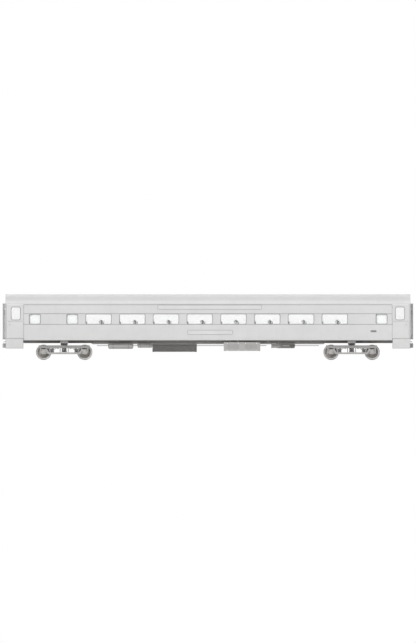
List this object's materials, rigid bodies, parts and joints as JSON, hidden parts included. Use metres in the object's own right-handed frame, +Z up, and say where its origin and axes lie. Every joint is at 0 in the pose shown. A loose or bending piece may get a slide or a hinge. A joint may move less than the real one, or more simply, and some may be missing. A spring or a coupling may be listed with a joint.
{
  "type": "passenger coach",
  "caption": "Lightweight railway passenger coach with an arched roof, picture windows, split vestibule doors over closed stairs, and two-axle bogies.",
  "frame": {"origin": "middle of the coach at the level of the wheel flanges' tips", "axes": "+X along the coach towards its front, +Y to its left, +Z up"},
  "size_m": [25.908, 3.048, 4.143],
  "materials": {
    "body": "satin light grey paint over seamed sheet",
    "roof": "satin light grey paint",
    "glass": "clear polished",
    "trim": "mid grey mouldings",
    "underframe": "matte mid grey",
    "bogie": "grey painted cast steel",
    "wheel": "rolled steel with a bright tread",
    "floor": "sheet floor covering",
    "interior": "eggshell painted panels",
    "seat": "woven plush",
    "rubber": "matte canvas and rubber",
    "tread": "raised-pattern steel plate"
  },
  "bodies": {
    "coach": {"underframe": "underframe", "floor": "floor", "roof": "roof", "left_side_wall": "body", "right_side_wall": "body", "left_window_glass": "glass", "right_window_glass": "glass", "left_seats": "seat", "right_seats": "seat", "battery_box": "underframe", "air_conditioner": "underframe", "front_end_wall": "body", "front_partitions": "interior", "front_diaphragm": "rubber", "front_left_stair": "tread", "front_right_stair": "tread", "rear_end_wall": "body", "rear_partitions": "interior", "rear_diaphragm": "rubber", "rear_left_stair": "tread", "rear_right_stair": "tread"},
    "front_bogie": {"front_bogie_frame": "bogie", "front_bogie_bolster": "bogie", "front_bogie_left_side_gear": "bogie", "front_bogie_right_side_gear": "bogie"},
    "front_bogie_front_axle": {"front_bogie_front_wheelset": "wheel"},
    "front_bogie_rear_axle": {"front_bogie_rear_wheelset": "wheel"},
    "front_coupler": {"front_coupler": "bogie"},
    "front_end_door": {"front_end_door": "interior"},
    "front_saloon_door": {"front_saloon_door": "interior"},
    "front_left_lower_door": {"front_left_lower_door": "body"},
    "front_left_upper_door": {"front_left_upper_door": "body", "front_left_door_glass": "glass"},
    "front_left_trap_door": {"front_left_trap_door": "tread"},
    "front_left_step_cover": {"front_left_step_cover": "body"},
    "front_right_lower_door": {"front_right_lower_door": "body"},
    "front_right_upper_door": {"front_right_upper_door": "body", "front_right_door_glass": "glass"},
    "front_right_trap_door": {"front_right_trap_door": "tread"},
    "front_right_step_cover": {"front_right_step_cover": "body"},
    "rear_bogie": {"rear_bogie_frame": "bogie", "rear_bogie_bolster": "bogie", "rear_bogie_left_side_gear": "bogie", "rear_bogie_right_side_gear": "bogie"},
    "rear_bogie_front_axle": {"rear_bogie_front_wheelset": "wheel"},
    "rear_bogie_rear_axle": {"rear_bogie_rear_wheelset": "wheel"},
    "rear_coupler": {"rear_coupler": "bogie"},
    "rear_end_door": {"rear_end_door": "interior"},
    "rear_saloon_door": {"rear_saloon_door": "interior"},
    "rear_left_lower_door": {"rear_left_lower_door": "body"},
    "rear_left_upper_door": {"rear_left_upper_door": "body", "rear_left_door_glass": "glass"},
    "rear_left_trap_door": {"rear_left_trap_door": "tread"},
    "rear_left_step_cover": {"rear_left_step_cover": "body"},
    "rear_right_lower_door": {"rear_right_lower_door": "body"},
    "rear_right_upper_door": {"rear_right_upper_door": "body", "rear_right_door_glass": "glass"},
    "rear_right_trap_door": {"rear_right_trap_door": "tread"},
    "rear_right_step_cover": {"rear_right_step_cover": "body"}
  },
  "joints": [
    {"name": "front_bogie_swivel", "type": "hinge", "parent": "coach", "child": "front_bogie", "pos_m": [9.068, 0, 1.02], "axis": [0, 0, 1], "range_deg": [-8, 8]},
    {"name": "front_bogie_front_axle_spin", "type": "hinge", "parent": "front_bogie", "child": "front_bogie_front_axle", "pos_m": [10.3635, 0, 0.4809], "axis": [0, 1, 0], "continuous": true},
    {"name": "front_bogie_rear_axle_spin", "type": "hinge", "parent": "front_bogie", "child": "front_bogie_rear_axle", "pos_m": [7.7725, 0, 0.4809], "axis": [0, 1, 0], "continuous": true},
    {"name": "front_coupler_swing", "type": "hinge", "parent": "coach", "child": "front_coupler", "pos_m": [12.02, 0, 0.904], "axis": [0, 0, 1], "range_deg": [-7, 7]},
    {"name": "front_end_door_hinge", "type": "hinge", "parent": "coach", "child": "front_end_door", "pos_m": [12.655, 0.372, 1.383], "axis": [0, 0, -1], "range_deg": [0, 90]},
    {"name": "front_saloon_door_hinge", "type": "hinge", "parent": "coach", "child": "front_saloon_door", "pos_m": [11.585, 0.352, 1.383], "axis": [0, 0, -1], "range_deg": [0, 90]},
    {"name": "front_left_lower_door_hinge", "type": "hinge", "parent": "coach", "child": "front_left_lower_door", "pos_m": [11.65, 1.465, 1.382], "axis": [0, 0, -1], "range_deg": [0, 90]},
    {"name": "front_left_upper_door_hinge", "type": "hinge", "parent": "coach", "child": "front_left_upper_door", "pos_m": [11.65, 1.465, 1.382], "axis": [0, 0, -1], "range_deg": [0, 90]},
    {"name": "front_left_trap_door_hinge", "type": "hinge", "parent": "coach", "child": "front_left_trap_door", "pos_m": [12.62, 0.6, 1.353], "axis": [0, 1, 0], "range_deg": [0, 90]},
    {"name": "front_left_step_cover_hinge", "type": "hinge", "parent": "coach", "child": "front_left_step_cover", "pos_m": [11.645, 1.515, 0.723], "axis": [-1, 0, 0], "range_deg": [0, 170]},
    {"name": "front_right_lower_door_hinge", "type": "hinge", "parent": "coach", "child": "front_right_lower_door", "pos_m": [11.65, -1.465, 1.382], "axis": [0, 0, 1], "range_deg": [0, 90]},
    {"name": "front_right_upper_door_hinge", "type": "hinge", "parent": "coach", "child": "front_right_upper_door", "pos_m": [11.65, -1.465, 1.382], "axis": [0, 0, 1], "range_deg": [0, 90]},
    {"name": "front_right_trap_door_hinge", "type": "hinge", "parent": "coach", "child": "front_right_trap_door", "pos_m": [12.62, -0.6, 1.353], "axis": [0, 1, 0], "range_deg": [0, 90]},
    {"name": "front_right_step_cover_hinge", "type": "hinge", "parent": "coach", "child": "front_right_step_cover", "pos_m": [11.645, -1.515, 0.723], "axis": [1, 0, 0], "range_deg": [0, 170]},
    {"name": "rear_bogie_swivel", "type": "hinge", "parent": "coach", "child": "rear_bogie", "pos_m": [-9.068, 0, 1.02], "axis": [0, 0, 1], "range_deg": [-8, 8]},
    {"name": "rear_bogie_front_axle_spin", "type": "hinge", "parent": "rear_bogie", "child": "rear_bogie_front_axle", "pos_m": [-7.7725, 0, 0.4809], "axis": [0, 1, 0], "continuous": true},
    {"name": "rear_bogie_rear_axle_spin", "type": "hinge", "parent": "rear_bogie", "child": "rear_bogie_rear_axle", "pos_m": [-10.3635, 0, 0.4809], "axis": [0, 1, 0], "continuous": true},
    {"name": "rear_coupler_swing", "type": "hinge", "parent": "coach", "child": "rear_coupler", "pos_m": [-12.02, 0, 0.904], "axis": [0, 0, 1], "range_deg": [-7, 7]},
    {"name": "rear_end_door_hinge", "type": "hinge", "parent": "coach", "child": "rear_end_door", "pos_m": [-12.655, -0.372, 1.383], "axis": [0, 0, -1], "range_deg": [0, 90]},
    {"name": "rear_saloon_door_hinge", "type": "hinge", "parent": "coach", "child": "rear_saloon_door", "pos_m": [-11.585, -0.352, 1.383], "axis": [0, 0, -1], "range_deg": [0, 90]},
    {"name": "rear_left_lower_door_hinge", "type": "hinge", "parent": "coach", "child": "rear_left_lower_door", "pos_m": [-11.65, 1.465, 1.382], "axis": [0, 0, 1], "range_deg": [0, 90]},
    {"name": "rear_left_upper_door_hinge", "type": "hinge", "parent": "coach", "child": "rear_left_upper_door", "pos_m": [-11.65, 1.465, 1.382], "axis": [0, 0, 1], "range_deg": [0, 90]},
    {"name": "rear_left_trap_door_hinge", "type": "hinge", "parent": "coach", "child": "rear_left_trap_door", "pos_m": [-12.62, 0.6, 1.353], "axis": [0, -1, 0], "range_deg": [0, 90]},
    {"name": "rear_left_step_cover_hinge", "type": "hinge", "parent": "coach", "child": "rear_left_step_cover", "pos_m": [-11.645, 1.515, 0.723], "axis": [-1, 0, 0], "range_deg": [0, 170]},
    {"name": "rear_right_lower_door_hinge", "type": "hinge", "parent": "coach", "child": "rear_right_lower_door", "pos_m": [-11.65, -1.465, 1.382], "axis": [0, 0, -1], "range_deg": [0, 90]},
    {"name": "rear_right_upper_door_hinge", "type": "hinge", "parent": "coach", "child": "rear_right_upper_door", "pos_m": [-11.65, -1.465, 1.382], "axis": [0, 0, -1], "range_deg": [0, 90]},
    {"name": "rear_right_trap_door_hinge", "type": "hinge", "parent": "coach", "child": "rear_right_trap_door", "pos_m": [-12.62, -0.6, 1.353], "axis": [0, -1, 0], "range_deg": [0, 90]},
    {"name": "rear_right_step_cover_hinge", "type": "hinge", "parent": "coach", "child": "rear_right_step_cover", "pos_m": [-11.645, -1.515, 0.723], "axis": [1, 0, 0], "range_deg": [0, 170]}
  ]
}
